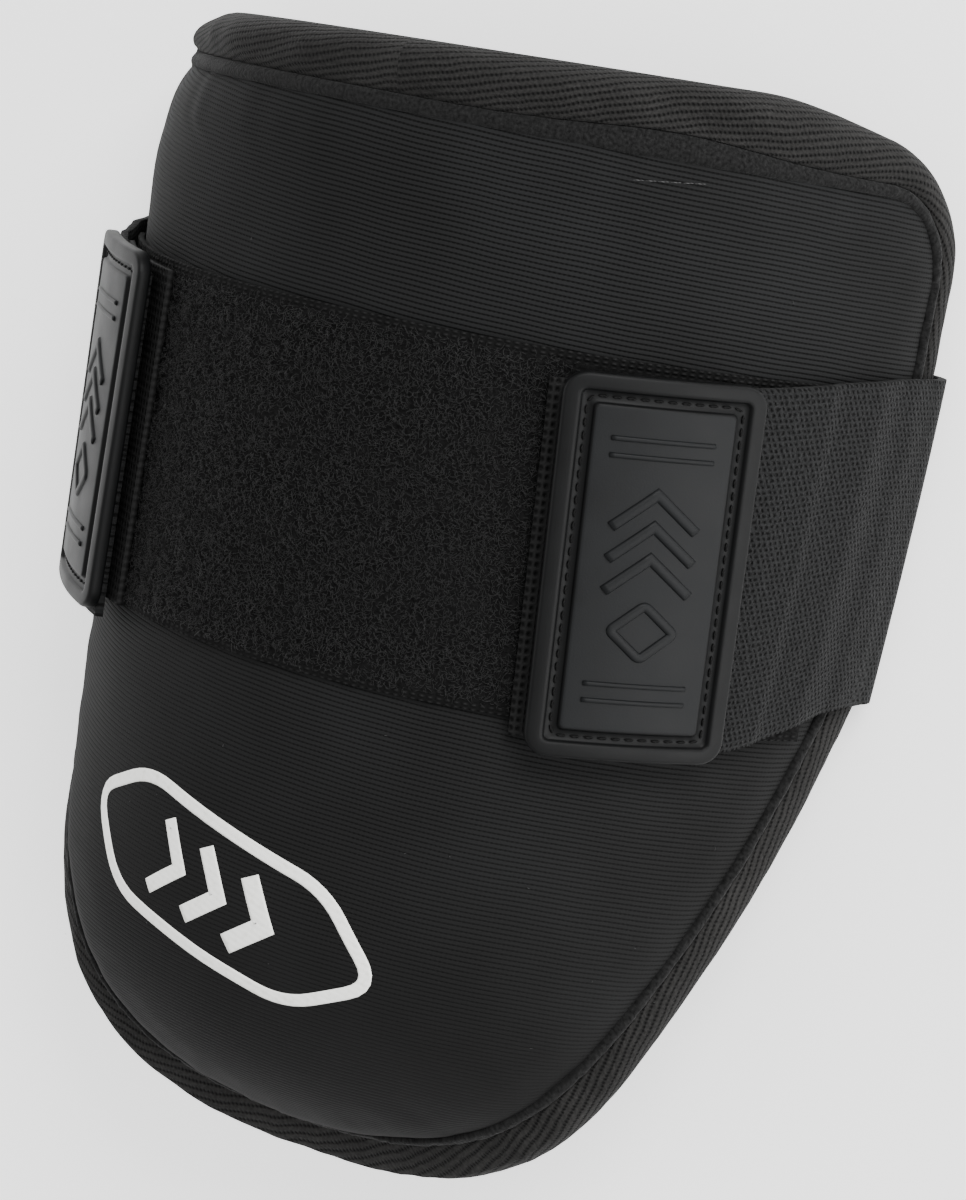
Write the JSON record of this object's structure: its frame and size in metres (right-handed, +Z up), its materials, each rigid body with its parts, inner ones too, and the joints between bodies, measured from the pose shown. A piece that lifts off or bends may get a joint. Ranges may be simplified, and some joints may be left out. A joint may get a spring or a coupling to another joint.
{
  "type": "baseball elbow guard",
  "caption": "Padded elbow guard for batting: curved soft shell with a bound edge, a fuzzy loop panel across the front and an elastic strap closed by moulded rubber patches.",
  "frame": {"origin": "middle of the footprint of the whole guard, at the height of the strap's flat back, which is the ground it lies on", "axes": "+X across the guard, +Y along the arm from the rounded tip to the wide end, +Z up out of the front"},
  "size_m": [0.1652, 0.2076, 0.075],
  "materials": {
    "neoprene": "ribbed charcoal knit over foam",
    "binding_tape": "herringbone twill tape",
    "welt": "fuzzy raised welt",
    "loop_pile": "black brushed loop pile",
    "elastic": "coarse woven elastic",
    "hook_tape": "coarse hook tape",
    "patch_rubber": "matte moulded rubber"
  },
  "bodies": {
    "root": {"shell": "neoprene", "edge_binding": "binding_tape", "seam_welt": "welt", "loop_panel": "loop_pile", "strap": "elastic", "hook_tab_right": "hook_tape", "hook_tab_left": "hook_tape", "patch_right": "patch_rubber", "patch_left": "patch_rubber"}
  },
  "joints": []
}
